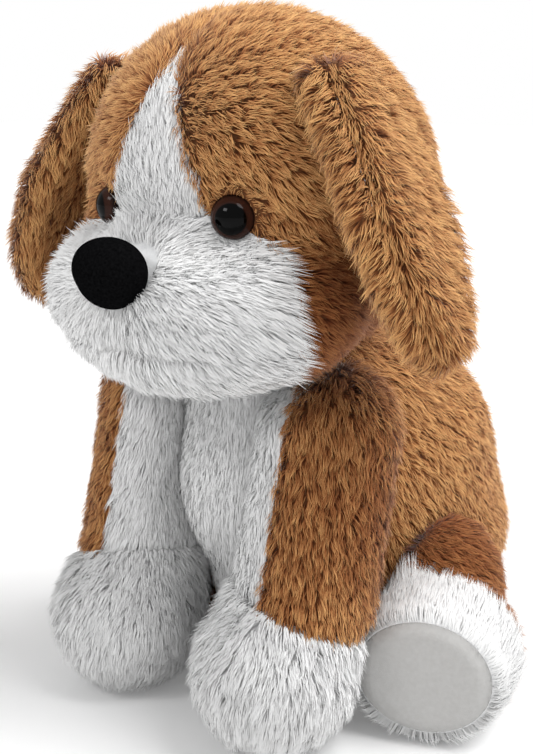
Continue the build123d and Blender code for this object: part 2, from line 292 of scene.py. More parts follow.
# ---- meshes from forms --------------------------------------------------------------------
def surface_net(form, low, high, step):
    """Vertices and quads of the zero level of a form, sampled on a grid."""
    axes = [np.arange(a, b + step, step) for a, b in zip(low, high)]
    grid = np.stack(np.meshgrid(*axes, indexing="ij"), axis=-1)
    value = form(grid.reshape(-1, 3)).reshape(grid.shape[:3])
    cells = tuple(n - 1 for n in value.shape)
    corners = [(i, j, k) for i in (0, 1) for j in (0, 1) for k in (0, 1)]

    def at(corner):
        return tuple(slice(c, c + n) for c, n in zip(corner, cells))

    total = np.zeros(cells + (3,))
    count = np.zeros(cells)
    for a in corners:
        for axis in range(3):
            if a[axis]:
                continue
            b = tuple(c + (n == axis) for n, c in enumerate(a))
            va, vb = value[at(a)], value[at(b)]
            crossed = (va < 0) != (vb < 0)
            t = np.where(crossed, va / np.where(crossed, va - vb, 1), 0)[..., None]
            point = grid[at(a)] * (1 - t) + grid[at(b)] * t
            total += np.where(crossed[..., None], point, 0)
            count += crossed
    active = count > 0
    index = np.full(cells, -1)
    index[active] = np.arange(active.sum())
    verts = total[active] / count[active][:, None]

    quads = []
    for axis in range(3):
        u, v = (axis + 1) % 3, (axis + 2) % 3
        first = [slice(0, n) for n in value.shape]
        second = list(first)
        first[axis], second[axis] = slice(0, -1), slice(1, None)
        va, vb = value[tuple(first)], value[tuple(second)]
        where = np.argwhere((va < 0) != (vb < 0))
        keep = (where[:, u] > 0) & (where[:, v] > 0)
        keep &= (where[:, u] < cells[u]) & (where[:, v] < cells[v])
        where = where[keep]
        inside = va[tuple(where.T)] < 0
        ring = []
        for du, dv in ((-1, -1), (0, -1), (0, 0), (-1, 0)):
            cell = where.copy()
            cell[:, u] += du
            cell[:, v] += dv
            ring.append(index[tuple(cell.T)])
        ring = np.stack(ring, axis=1)
        quads.append(np.where(inside[:, None], ring, ring[:, ::-1]))
    return verts, np.concatenate(quads)


def gradient(form, p, h=0.6):
    steps = np.eye(3) * h
    return np.stack([form(p + s) - form(p - s) for s in steps], axis=1) / (2 * h)


def settle(form, verts, rounds=3):
    """Moves vertices onto the form's surface."""
    for _ in range(rounds):
        g = gradient(form, verts)
        verts = verts - form(verts)[:, None] * g / np.maximum((g * g).sum(axis=1), 0.05)[:, None]
    return verts


def mesh_object(name, verts, faces):
    """verts in millimetres."""
    mesh = bpy.data.meshes.new(name)
    mesh.from_pydata((np.asarray(verts) * MM).tolist(), [], [[int(i) for i in face] for face in faces])
    mesh.validate()
    ob = bpy.data.objects.new(name, mesh)
    bpy.context.scene.collection.objects.link(ob)
    return ob


def form_mesh(body, step, level=0.0):
    """Skin mesh of a body's form, or of a level inside it."""
    form = FORMS[body]
    low, high = span(*frame["record"]["behaviour"]["bodies"][body])
    verts, quads = surface_net(lambda p: form(p) - level, low - 14, high + 14, step)
    return settle(lambda p: form(p) - level, verts), quads


def smooth_shade(ob):
    ob.data.polygons.foreach_set("use_smooth", np.ones(len(ob.data.polygons), bool))


def cut_along(bm, test):
    """Splits edges and faces where the test changes sign, so a panel ends in a clean line."""
    bm.verts.ensure_lookup_table()
    value = test(np.array([v.co for v in bm.verts]) / MM)
    sign = {v: f for v, f in zip(bm.verts, value)}
    new = set()
    for edge in [e for e in bm.edges if (sign[e.verts[0]] < 0) != (sign[e.verts[1]] < 0)]:
        a, b = edge.verts
        t = sign[a] / (sign[a] - sign[b])
        t = min(max(t, 0.02), 0.98)
        _, v = bmesh.utils.edge_split(edge, a, t)
        sign[v] = 0.0
        new.add(v)
    for face in list(bm.faces):
        marks = [v for v in face.verts if v in new]
        if len(marks) == 2:
            bmesh.utils.face_split(face, marks[0], marks[1])
    return sign


def pinch_seam(bm, test, depth=1.8, reach=3.0):
    """Draws the cloth in along a seam."""
    bm.normal_update()
    bm.verts.ensure_lookup_table()
    value = test(np.array([v.co for v in bm.verts]) / MM)
    for v, f in zip(bm.verts, value):
        if abs(f) < 3 * reach:
            v.co -= v.normal * (depth * MM * math.exp(-((f / reach) ** 2)))


def split_panels(verts, quads, panels):
    """Cuts a skin into panels. Each panel is (name, test), and takes what its test finds above zero."""
    bm = bmesh.new()
    made = [bm.verts.new(v) for v in verts * MM]
    for quad in quads:
        if len(set(quad)) == 4:
            bm.faces.new([made[i] for i in quad])
    bm.normal_update()
    result = {}
    for name, test in panels:
        if test is None:
            result[name] = bm
            break
        pinch_seam(bm, test)
        cut_along(bm, test)
        bm.faces.ensure_lookup_table()
        middles = np.array([f.calc_center_median() for f in bm.faces]) / MM
        chosen = test(middles) > 0
        part = bm.copy()
        part.faces.ensure_lookup_table()
        drop = [f for f, c in zip(part.faces, chosen) if not c]
        bmesh.ops.delete(part, geom=drop, context="FACES")
        drop = [f for f, c in zip(bm.faces, chosen) if c]
        bmesh.ops.delete(bm, geom=drop, context="FACES")
        result[name] = part
    return result


def panel_object(name, bm):
    mesh = bpy.data.meshes.new(name)
    bmesh.ops.triangulate(bm, faces=[f for f in bm.faces if len(f.verts) > 4])
    bm.to_mesh(mesh)
    bm.free()
    ob = bpy.data.objects.new(name, mesh)
    bpy.context.scene.collection.objects.link(ob)
    smooth_shade(ob)
    return ob


def thicken(ob, thickness=1.4):
    solid = ob.modifiers.new("cloth", "SOLIDIFY")
    solid.thickness = thickness * MM
    solid.offset = -1
    bpy.context.view_layer.update()
    mesh = bpy.data.meshes.new_from_object(ob.evaluated_get(bpy.context.evaluated_depsgraph_get()))
    ob.modifiers.clear()
    ob.data = mesh
    smooth_shade(ob)


# ---- pile ---------------------------------------------------------------------------------
def unit(v):
    return v / np.maximum(np.linalg.norm(v, axis=1, keepdims=True), 1e-9)


def hashed(cells, salt):
    """Three repeatable random numbers for each integer cell."""
    c = cells.astype(np.int64)
    h = (c[:, 0] * 73856093) ^ (c[:, 1] * 19349663) ^ (c[:, 2] * 83492791) ^ (salt * 2654435761)
    out = []
    for _ in range(3):
        h = (h * 6364136223846793005 + 1442695040888963407) & 0x7FFFFFFFFFFFFFFF
        out.append(((h >> 20) & 0xFFFFF) / 0xFFFFF)
    return np.stack(out, axis=1)


def tufts(p, size, salt):
    """Nearest tuft centre of each point, and three random numbers of that tuft."""
    base = np.floor(p / size)
    best = np.full(len(p), 1e18)
    centre = np.zeros_like(p)
    chance = np.zeros_like(p)
    for dx in (-1, 0, 1):
        for dy in (-1, 0, 1):
            for dz in (-1, 0, 1):
                cell = base + np.array([dx, dy, dz])
                spot = (cell + hashed(cell, salt)) * size
                gap = ((spot - p) ** 2).sum(axis=1)
                near = gap < best
                best = np.where(near, gap, best)
                centre[near] = spot[near]
                chance[near] = hashed(cell[near], salt + 7)
    return centre, chance


def waves(p, scale, salt):
    """Smooth slow noise between -1 and 1."""
    rng = np.random.default_rng(salt)
    total = np.zeros(len(p))
    for _ in range(5):
        direction = rng.normal(size=3) / scale
        total += np.sin(p @ direction + rng.uniform(0, 2 * math.pi))
    return total / 3


def sample_surface(ob, density, rng):
    """Random points on a mesh with their normals, in millimetres."""
    mesh = ob.data
    mesh.calc_loop_triangles()
    n = len(mesh.vertices)
    co = np.empty(n * 3)
    mesh.vertices.foreach_get("co", co)
    co = co.reshape(-1, 3) / MM
    nor = np.empty(n * 3)
    mesh.vertex_normals.foreach_get("vector", nor)
    nor = nor.reshape(-1, 3)
    tri = np.empty(len(mesh.loop_triangles) * 3, int)
    mesh.loop_triangles.foreach_get("vertices", tri)
    tri = tri.reshape(-1, 3)
    a, b, c = co[tri[:, 0]], co[tri[:, 1]], co[tri[:, 2]]
    area = np.linalg.norm(np.cross(b - a, c - a), axis=1) / 2
    edge = np.cumsum(area)
    count = int(edge[-1] * density)
    pick = (np.arange(count) + rng.random(count)) / count * edge[-1]
    t = np.minimum(np.searchsorted(edge, pick), len(tri) - 1)
    r1, r2 = np.sqrt(rng.random(count)), rng.random(count)
    w = np.stack([1 - r1, r1 * (1 - r2), r1 * r2], axis=1)[:, :, None]
    return (co[tri[t]] * w).sum(axis=1), unit((nor[tri[t]] * w).sum(axis=1))


def room_for(body, p):
    """Distance from points to the nearest other body, for pile that must stay short there."""
    gap = np.full(len(p), 1e9)
    for other, form in FORMS.items():
        if other != body:
            gap = np.minimum(gap, form(p))
    return gap


def grow_pile(skin, body, name, material, slot, comb, length=9.0, density=1.2, lean=55.0, lean_spread=16.0,
              tuft=3.6, pull=0.5, swirl=20.0, width=0.23, salt=1, keep=None, long_at=None, shade=0.5,
              relief=0.35):
    """Grows pile on a skin as tapered strands. comb(p) gives the direction that the pile lies in.

    lean is the angle from the skin's normal, tuft the size of a tuft, pull how far its tips gather, and swirl
    how far it turns off the comb. shade is a level or a function of place; it sets the pile's mean tone, and on
    the crown, front legs and thighs it holds painted light and shade. relief turns the strands'
    normals from the skin's towards their own.
    """
    rng = np.random.default_rng(salt)
    p, n = sample_surface(skin, density * DENSITY, rng)
    if keep is not None:
        held = keep(p, n)
        p, n = p[held], n[held]
    count = len(p)
    flow = comb(p)
    flow = flow - n * (flow * n).sum(axis=1, keepdims=True)
    flow = unit(flow)
    centre, chance = tufts(p, tuft, salt)
    turn = np.radians(swirl * (2 * chance[:, 0] - 1) + 0.35 * swirl * rng.normal(size=count))
    side = np.cross(n, flow)
    flow = flow * np.cos(turn)[:, None] + side * np.sin(turn)[:, None]
    tilt = lean + lean_spread * (2 * chance[:, 1] - 1) + 7 * rng.normal(size=count)
    tilt = np.radians(np.clip(tilt, 4, 84))
    size = length * (0.8 + 0.3 * chance[:, 2]) * (0.82 + 0.3 * rng.random(count))
    if long_at is not None:
        size = size * long_at(p)
    size = np.minimum(size, 2.5 + 0.9 * np.maximum(room_for(body, p), 0))
    tip_way = n * np.cos(tilt)[:, None] + flow * np.sin(tilt)[:, None]
    mid_way = n * np.cos(tilt * 0.6)[:, None] + flow * np.sin(tilt * 0.6)[:, None]
    gather = centre - p
    gather = gather - n * (gather * n).sum(axis=1, keepdims=True)
    mid = p + 0.5 * size[:, None] * mid_way + 0.3 * pull * gather
    tip = p + size[:, None] * tip_way + pull * gather
    rest = 0.4 + 0.8 * rng.random(count)
    mid[:, 2] = np.maximum(mid[:, 2], rest)
    tip[:, 2] = np.maximum(tip[:, 2], rest)
    across = unit(np.cross(tip - p, n))
    roll = rng.uniform(-0.9, 0.9, count)
    across = across * np.cos(roll)[:, None] + np.cross(unit(tip - p), across) * np.sin(roll)[:, None]
    w = (width * (0.75 + 0.5 * rng.random(count)))[:, None]
    root_half, mid_half = across * w, across * w * 0.85
    verts = np.stack([p - root_half, p + root_half, mid - mid_half, mid + mid_half, tip], axis=1)
    facing = (np.cross(across, unit(tip - p)) * n).sum(axis=1) < 0
    verts[facing] = verts[facing][:, [1, 0, 3, 2, 4]]

    # level carries the painted light and shade of the crown, front legs and thighs; the rest of the tone differs
    # from tuft to tuft.
    level = shade(p) if callable(shade) else shade
    tone = level + 0.16 * waves(p, 26, salt) + 0.34 * (chance[:, 2] - 0.5) + 0.12 * rng.normal(size=count)
    tone = np.clip(tone, 0.02, 0.98)
    normal = unit(n + relief * unit(np.cross(across, tip - p)) * np.where(facing, -1, 1)[:, None])
    ob = strand_mesh(name, verts, tone, normal)
    ob.data.materials.append(material)
    ob.parent = skin


def strand_mesh(name, verts, tone, normal):
    """Each strand is a quad and a tip triangle. UV x is its shade and UV y runs from root to tip."""
    count = len(verts)
    base = np.arange(count)[:, None] * 5
    quad = base + np.array([[0, 1, 3, 2]])
    tri = base + np.array([[2, 3, 4]])
    loops = np.concatenate([quad, tri], axis=1).ravel()
    mesh = bpy.data.meshes.new(name)
    mesh.vertices.add(count * 5)
    mesh.vertices.foreach_set("co", (verts.reshape(-1) * MM).astype(np.float32))
    mesh.loops.add(len(loops))
    mesh.loops.foreach_set("vertex_index", loops.astype(np.int32))
    mesh.polygons.add(count * 2)
    starts = (np.arange(count)[:, None] * 7 + np.array([[0, 4]])).ravel()
    mesh.polygons.foreach_set("loop_start", starts.astype(np.int32))
    mesh.polygons.foreach_set("use_smooth", np.ones(count * 2, bool))
    mesh.update(calc_edges=True)
    uv = mesh.uv_layers.new(name="OFBake")
    u = tone[:, None] + np.array([[-1, 1, 1, -1, -1, 1, 0]]) * 0.004
    v = np.broadcast_to(np.array([[0.03, 0.03, 0.5, 0.5, 0.5, 0.5, 0.97]]), u.shape)
    uv.data.foreach_set("uv", np.stack([u, v], axis=-1).ravel().astype(np.float32))
    mesh.normals_split_custom_set_from_vertices(np.repeat(normal, 5, axis=0))
    ob = bpy.data.objects.new(name, mesh)
    bpy.context.scene.collection.objects.link(ob)
    return ob


# ---- materials ----------------------------------------------------------------------------
def new_material(name, roughness=0.8, specular=0.3, sheen=0.0):
    mat = bpy.data.materials.new(name)
    mat.use_nodes = True
    shader = mat.node_tree.nodes["Principled BSDF"]
    shader.inputs["Roughness"].default_value = roughness
    shader.inputs["Specular IOR Level"].default_value = specular
    shader.inputs["Sheen Weight"].default_value = sheen
    return mat, mat.node_tree, shader


def ramp(tree, factor, stops):
    node = tree.nodes.new("ShaderNodeValToRGB")
    while len(node.color_ramp.elements) < len(stops):
        node.color_ramp.elements.new(0.5)
    for element, (place, colour) in zip(node.color_ramp.elements, stops):
        element.position = place
        element.color = (*colour, 1)
    tree.links.new(factor, node.inputs["Fac"])
    return node.outputs["Color"]


def multiply(tree, a, b):
    node = tree.nodes.new("ShaderNodeMix")
    node.data_type = "RGBA"
    node.blend_type = "MULTIPLY"
    node.inputs[0].default_value = 1.0
    tree.links.new(a, node.inputs[6])
    tree.links.new(b, node.inputs[7])
    return node.outputs[2]


def pile_material(name, along, shades, roughness=0.75, specular=0.15, sheen=0.25):
    """Colour runs from root to tip, and each tuft has its own shade."""
    mat, tree, shader = new_material(name, roughness, specular, sheen)
    uv = tree.nodes.new("ShaderNodeUVMap")
    uv.uv_map = "OFBake"
    split = tree.nodes.new("ShaderNodeSeparateXYZ")
    tree.links.new(uv.outputs["UV"], split.inputs[0])
    colour = multiply(tree, ramp(tree, split.outputs["Y"], along), ramp(tree, split.outputs["X"], shades))
    tree.links.new(colour, shader.inputs["Base Color"])
    return mat


def cloth_material(name, dark, light, scale=220.0, bump_height=0.4, roughness=0.9, sheen=0.2, specular=0.1):
    """Cloth or other plain stuff: mottled between two colours, with a fine bump."""
    mat, tree, shader = new_material(name, roughness, specular, sheen)
    place = tree.nodes.new("ShaderNodeTexCoord")
    noise = tree.nodes.new("ShaderNodeTexNoise")
    noise.inputs["Scale"].default_value = scale
    noise.inputs["Detail"].default_value = 4
    tree.links.new(place.outputs["Object"], noise.inputs["Vector"])
    tree.links.new(ramp(tree, noise.outputs["Fac"], [(0.3, dark), (0.7, light)]), shader.inputs["Base Color"])
    grain = tree.nodes.new("ShaderNodeTexNoise")
    grain.inputs["Scale"].default_value = scale * 7
    tree.links.new(place.outputs["Object"], grain.inputs["Vector"])
    relief = tree.nodes.new("ShaderNodeBump")
    relief.inputs["Strength"].default_value = bump_height
    relief.inputs["Distance"].default_value = 0.0006
    tree.links.new(grain.outputs["Fac"], relief.inputs["Height"])
    tree.links.new(relief.outputs["Normal"], shader.inputs["Normal"])
    return mat


# Painted shade: the brown ramp runs dark and red at the root, standing for shade in the depth of the pile, up to
# light tan tips; the white ramp does the same but only slightly. The shades ramps give each tuft its own tone, and
# their low end holds the painted shade of the cheeks, front legs and thighs.
BROWN_PILE = pile_material(
    "brown_pile",
    [(0.0, (0.24, 0.07, 0.022)), (0.4, (0.47, 0.195, 0.068)), (1.0, (0.97, 0.61, 0.26))],
    [(0.0, (0.45, 0.28, 0.2)), (0.25, (0.72, 0.58, 0.49)),
     (0.5, (0.93, 0.86, 0.79)), (1.0, (1.08, 1.08, 1.0))],
)
WHITE_PILE = pile_material(
    "white_pile",
    [(0.0, (0.9, 0.9, 0.895)), (0.5, (0.94, 0.94, 0.937)), (1.0, (0.96, 0.96, 0.957))],
    [(0.0, (0.95, 0.95, 0.95)), (0.5, (0.98, 0.98, 0.98)), (1.0, (1.0, 1.0, 1.0))],
)
BROWN = dict(material=BROWN_PILE, length=8.5, density=1.25, lean=58)
WHITE = dict(material=WHITE_PILE, length=9.0, density=1.55, lean=64, lean_spread=6, swirl=9, pull=0.13,
             tuft=4.5, width=0.25, relief=0.05)
SHAGGY = dict(WHITE, length=10.5, lean=56, lean_spread=9, swirl=14, pull=0.24, tuft=5.5)
BROWN_CLOTH = cloth_material("brown_backing", (0.12, 0.045, 0.018), (0.22, 0.09, 0.035))
WHITE_CLOTH = cloth_material("white_backing", (0.74, 0.745, 0.75), (0.86, 0.865, 0.87))
SOLE_CLOTH = cloth_material("sole_short_pile", (0.5, 0.494, 0.483), (0.545, 0.54, 0.53), 420, 0.5)


# ---- build --------------------------------------------------------------------------------
def down(p):
    return np.tile([0.0, 0.0, -1.0], (len(p), 1))


def sided(p):
    return np.sign(p[:, 0])


def slot_of(node):
    return next(s["material_slot"] for s in frame["record"]["subparts"] if s["node"] == node)


def dress(body, panels, step=FINE_STEP):
    """panels: (piece, CAD nodes, test, cloth, pile settings or None)."""
    verts, quads = form_mesh(body, step)
    parts = split_panels(verts, quads, [(name, test) for name, _, test, _, _ in panels])
    for name, nodes, _, cloth, pile in panels:
        skin = panel_object(name, parts[name])
        skin.data.materials.append(cloth)
        if pile is not None:
            grow_pile(skin, body, f"{name}_pile", slot=slot_of(nodes[0]), **pile)
        thicken(skin)
        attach(skin, body)
        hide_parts(*nodes)


def crown_comb(p):
    return np.stack([0.25 * sided(p), np.full(len(p), 1.0), -0.35 - 0.006 * np.abs(p[:, 0])], axis=1)


def blaze_comb(p):
    return np.tile([0.0, 0.4, 1.0], (len(p), 1))


def muzzle_comb(p):
    out = unit(p - (MUZZLE + np.array([0, -46, 20])))
    out[:, 2] -= 0.25
    return out


def eye_gap(p):
    return np.linalg.norm(mirrored(p) - EYE, axis=1)


def eye_clear(p):
    """1 away from the eyes, less beside them."""
    return np.clip((eye_gap(p) - 7) / 13, 0.3, 1)


def muzzle_length(p):
    """Longer pile where the white overlaps the cheeks."""
    cheek = np.clip((np.abs(p[:, 0]) - 38) / 22, 0, 1)
    return eye_clear(p) * (0.85 + 0.4 * cheek)


def round_eyes(comb):
    """The same pile direction, brushed away from the eyes."""
    def brushed(p):
        eye = np.tile(EYE, (len(p), 1))
        eye[:, 0] *= sided(p)
        away = p - eye
        near = np.exp(-(((eye_gap(p) - 9) / 7) ** 2))
        return unit(comb(p)) + 1.6 * near[:, None] * unit(away)
    return brushed


def off_eyes_and_nose(p, n):
    eyes = eye_gap(p) > 10.5
    nose = (nose_low + nose_high) / 2
    nose_gap = np.hypot((p[:, 0] - nose[0]) / 16, (p[:, 2] - nose[2]) / 11) > 1
    return eyes & (nose_gap | (p[:, 1] > -150))


def head_panels():
    def in_muzzle(p):
        return -ellipsoid(p, MUZZLE + np.array([0, 2, 3]), (75, 50, 44))

    def in_base(p):
        return -ball(p, NECK, NECK_SEAM_R)

    def in_chin(p):
        return np.minimum(in_muzzle(p), 200 - p[:, 2])

    def in_blaze(p):
        top, shoulder, half = 328.0, 271.0, 24.0
        low = 241.0
        w = np.where(p[:, 2] > shoulder, half * (top - p[:, 2]) / (top - shoulder),
                     half + (shoulder - p[:, 2]) / (shoulder - low) * 9)
        return np.minimum(np.minimum(w - np.abs(p[:, 0]), -100 - p[:, 1]), p[:, 2] - 225)

    # Painted light and shade: the top of the crown is made lighter, as if lit from above, and the cheeks darker,
    # as if in shade.
    def crown_painted_light_and_shade(p):
        cheek = np.clip((268 - p[:, 2]) / 36, 0, 1) * np.clip((np.abs(p[:, 0]) - 30) / 25, 0, 1)
        return 0.5 + 0.22 * np.clip((p[:, 2] - 295) / 35, 0, 1) - 0.48 * cheek

    crown = dict(BROWN, comb=round_eyes(crown_comb), keep=off_eyes_and_nose,
                 long_at=eye_clear, shade=crown_painted_light_and_shade)
    return [
        ("head_lining", ["head_base_panel"], in_base, BROWN_CLOTH, None),
        ("chin", ["chin_panel"], in_chin, WHITE_CLOTH,
         dict(WHITE, comb=muzzle_comb, length=11, salt=12)),
        ("muzzle", ["muzzle_cover"], in_muzzle, WHITE_CLOTH,
         dict(WHITE, comb=round_eyes(muzzle_comb), length=11, salt=13, keep=off_eyes_and_nose,
              long_at=muzzle_length)),
        ("blaze", ["face_blaze"], in_blaze, WHITE_CLOTH,
         dict(WHITE, comb=round_eyes(blaze_comb), length=7.5, density=1.5, salt=14, keep=off_eyes_and_nose,
              long_at=eye_clear)),
        ("crown_panel_left", ["crown_left"], lambda p: p[:, 0], BROWN_CLOTH, dict(crown, salt=15)),
        ("crown_panel_right", ["crown_right"], None, BROWN_CLOTH, dict(crown, salt=16)),
    ]


def torso_panels():
    def in_seat(p):
        return 2.0 - p[:, 2]

    def in_belly(p):
        return np.minimum(CHEST_X + 1 - np.abs(p[:, 0]), LEG_BACK_Y - p[:, 1])

    def ruff(p):
        return 1 + 0.5 * np.exp(-(((p[:, 2] - 168) / 16) ** 2))

    def body_comb(p):
        return np.stack([0.2 * sided(p), np.full(len(p), 0.45), np.full(len(p), -1.0)], axis=1)

    return [
        ("seat", ["seat_panel"], in_seat, BROWN_CLOTH, None),
        ("belly", ["belly_panel"], in_belly, WHITE_CLOTH,
         dict(WHITE, comb=down, salt=21)),
        ("back_cover", ["body_back"], None, BROWN_CLOTH,
         dict(BROWN, comb=body_comb, density=0.74, width=0.28, long_at=ruff, salt=22)),
    ]


def front_leg_panels(name, side):
    def in_paw(p):
        q = flip(p, side)
        return 78 - 0.25 * (q[:, 1] + 140) - 0.3 * (q[:, 0] - 50) - q[:, 2]

    def in_outer(p):
        return flip(p, side)[:, 0] - SHOULDER[0]

    def leg_comb(p):
        return np.stack([0.15 * sided(p), np.full(len(p), -0.2), np.full(len(p), -1.0)], axis=1)

    # Painted shade: the front leg's pile is made darker, most of all up towards the shoulder where it lies in
    # shade, and lighter towards the paw.
    def leg_painted_shade(p):
        return 0.18 + 0.16 * np.clip((150 - p[:, 2]) / 60, 0, 1)

    def shoulder_length(p):
        return 1 + 0.45 * np.clip((p[:, 2] - 150) / 25, 0, 1)

    def paw_comb(p):
        return unit(p - np.array([side * PAW[0], PAW[1] + 12, PAW[2] + 45]))

    return [
        (f"paw_{name}", [f"front_paw_{name}"], in_paw, WHITE_CLOTH,
         dict(SHAGGY, comb=paw_comb, salt=31 + side)),
        (f"leg_outer_{name}", [f"front_leg_outer_{name}"], in_outer, BROWN_CLOTH,
         dict(BROWN, comb=leg_comb, long_at=shoulder_length, shade=leg_painted_shade, salt=34 + side)),
        (f"leg_inner_{name}", [f"front_leg_inner_{name}"], None, WHITE_CLOTH,
         dict(WHITE, comb=leg_comb, salt=37 + side)),
    ]


def hind_leg_panels(name, side):
    def in_sole(p):
        q = flip(p, side)
        out = np.hypot((q - SOLE) @ FOOT_ACROSS / FOOT_WIDE, q[:, 2] - SOLE[2])
        return np.minimum(SOLE_R - out, foot_depth(q) + 12)

    def in_cuff(p):
        return foot_depth(flip(p, side)) + CUFF_DEPTH

    def cuff_comb(p):
        back = -FOOT_AXIS * np.array([side, 1, 1])
        return np.tile(back, (len(p), 1)) + 0.35 * np.array([0, 0, 1.0])

    def cuff_length(p):
        return np.clip(0.62 - foot_depth(flip(p, side)) / 50, 0.5, 1.15)

    def thigh_comb(p):
        return np.stack([0.3 * sided(p), np.full(len(p), 0.5), np.full(len(p), -1.0)], axis=1)

    return [
        (f"sole_{name}", [f"hind_sole_{name}"], in_sole, SOLE_CLOTH, None),
        (f"cuff_{name}", [f"hind_foot_cuff_{name}"], in_cuff, WHITE_CLOTH,
         dict(WHITE, comb=cuff_comb, length=11.5, lean=60, density=1.9, swirl=12, long_at=cuff_length,
              salt=41 + side)),
        # The thigh pile's shade=0.02 is painted shade: the thigh is made dark as in the shadowed fold between the
        # body and the cuff.
        (f"thigh_cover_{name}", [f"thigh_{name}"], None, BROWN_CLOTH,
         dict(BROWN, comb=thigh_comb, shade=0.02, salt=44 + side)),
    ]


def ear_panels(name, side):
    def in_outer(p):
        return ear_local(flip(p, side))[0] - EAR_SEAM

    def ear_comb(p):
        q = flip(p, side)
        through, y, z = ear_local(q)
        outer = through > EAR_SEAM
        spread = np.where(outer, 0.75 * np.clip((y + 150) / 30, 0.25, 1), -0.5)
        aside = np.where(outer, 0.3, -0.45)
        return np.stack([side * aside, spread, np.full(len(p), -1.0)], axis=1)

    pile = dict(BROWN, comb=ear_comb, length=9.5, lean=54)
    return [
        (f"ear_cover_{name}", [f"ear_outer_{name}"], in_outer, BROWN_CLOTH, dict(pile, salt=51 + side)),
        (f"ear_back_{name}", [f"ear_lining_{name}"], None, BROWN_CLOTH, dict(pile, salt=54 + side)),
    ]


def tail_panels():
    axis = unit((TAIL_TIP - TAIL)[None])[0]

    def in_tip(p):
        return (p - TAIL) @ axis - TAIL_WHITE_FROM

    def tail_comb(p):
        return np.tile(axis, (len(p), 1))

    return [
        ("tail_end", ["tail_tip"], in_tip, WHITE_CLOTH,
         dict(WHITE, comb=tail_comb, salt=61)),
        ("tail_cover", ["tail_base"], None, BROWN_CLOTH,
         dict(BROWN, comb=tail_comb, salt=62)),
    ]


dress("head", head_panels())
dress("torso", torso_panels(), STEP)
dress("tail", tail_panels(), TAIL_STEP)
for side_name, side in SIDES.items():
    dress(f"ear_{side_name}", ear_panels(side_name, side))
    dress(f"front_leg_{side_name}", front_leg_panels(side_name, side))
    dress(f"hind_leg_{side_name}", hind_leg_panels(side_name, side))


# ---- nose, eyes and other small pieces ----------------------------------------------------
def lathe(name, profile, turns=64):
    """Spins (radius, height) points about Z; the ends on the axis are closed."""
    verts, faces, rings = [], [], []
    for r, z in profile:
        if r < 1e-6:
            rings.append([len(verts)] * turns)
            verts.append((0, 0, z))
        else:
            rings.append(list(range(len(verts), len(verts) + turns)))
            for i in range(turns):
                a = 2 * math.pi * i / turns
                verts.append((r * math.cos(a), r * math.sin(a), z))
    for low, high in zip(rings, rings[1:]):
        for i in range(turns):
            j = (i + 1) % turns
            face = [low[i], low[j], high[j], high[i]]
            face = [v for k, v in enumerate(face) if v not in face[:k]]
            faces.append(face)
    ob = mesh_object(name, verts, faces)
    smooth_shade(ob)
    return ob


def eye_material():
    """Very dark glossy eye with a deep reddish-brown iris ring round the pupil."""
    mat, tree, shader = new_material("eye_gloss", 0.05, 0.1)
    place = tree.nodes.new("ShaderNodeTexCoord")
    length = tree.nodes.new("ShaderNodeVectorMath")
    length.operation = "LENGTH"
    flat = tree.nodes.new("ShaderNodeVectorMath")
    flat.operation = "MULTIPLY"
    flat.inputs[1].default_value = (100, 100, 0)
    tree.links.new(place.outputs["Object"], flat.inputs[0])
    tree.links.new(flat.outputs["Vector"], length.inputs[0])
    stops = [(0.68, (0.001, 0.001, 0.001)), (0.74, (0.03, 0.011, 0.007)), (0.9, (0.045, 0.017, 0.011)),
             (0.98, (0.012, 0.006, 0.005))]
    tree.links.new(ramp(tree, length.outputs["Value"], stops), shader.inputs["Base Color"])
    return mat


EYE_GLOSS = eye_material()
BLACK_FLOCK = cloth_material(
    "black_flock", (0.002, 0.002, 0.0022), (0.006, 0.006, 0.0065), 900, 0.35, 0.95, 0.0, 0.0)


def make_eye(name, side):
    centre = flip(EYE[None], side)[0]
    outward = unit((centre - CRANIUM)[None])[0]
    dome_r = (EYE_R**2 + EYE_RISE**2) / (2 * EYE_RISE)
    top = math.asin(EYE_R / dome_r)
    dome = [(dome_r * math.sin(a), EYE_RISE - dome_r + dome_r * math.cos(a)) for a in np.linspace(0, top, 18)]
    profile = [(0, -2.2), (8.5, -2.2), (9.8, -1.6), (10.2, -0.7)] + dome[::-1]
    profile[-1] = (0, profile[-1][1])
    eye = lathe(f"eye_dome_{name}", profile)
    turn = Vector(outward).to_track_quat("Z", "Y").to_matrix().to_4x4()
    eye.matrix_world = Matrix.Translation(Vector((centre - outward * EYE_RISE / 2) * MM)) @ turn
    eye.data.materials.append(EYE_GLOSS)
    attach(eye, "head")
    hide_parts(f"eye_{name}")


def make_nose():
    """Rounded flocked nose, a little wider at the top, with two shallow nostrils."""
    centre = (nose_low + nose_high) / 2
    centre[1] = nose_low[1] + 5
    half = (nose_high - nose_low) / 2

    def form(p):
        q = p - centre
        wide = 1 + 0.12 * np.clip(q[:, 2] / half[2], -1, 1)
        even = np.stack([q[:, 0] / wide, q[:, 1], q[:, 2]], axis=1)
        d = ellipsoid(even, (0, 0, 0), (half[0], 13.5, half[2]))
        for s in (-1, 1):
            d = d + 0.8 * bump(q, (s * 10, -11, -5), (4, 5, 2.5))
        return cut(d, q[:, 1] - 5, 3)

    verts, quads = surface_net(form, centre - 30, centre + 30, 1.2)
    nose = mesh_object("nose_flocked", settle(form, verts), quads)
    smooth_shade(nose)
    nose.data.materials.append(BLACK_FLOCK)
    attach(nose, "head")
    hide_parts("nose")


for side_name, side in SIDES.items():
    make_eye(side_name, side)
make_nose()


def make_stuffing(body, node, step=6.0, inset=2.4):
    """Fibre fill that follows the inside of the covers."""
    verts, quads = form_mesh(body, step, -inset)
    fill = mesh_object(f"{node}_fill", verts, quads)
    smooth_shade(fill)
    fill.data.materials.append(FIBRE)
    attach(fill, body)
    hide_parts(node)


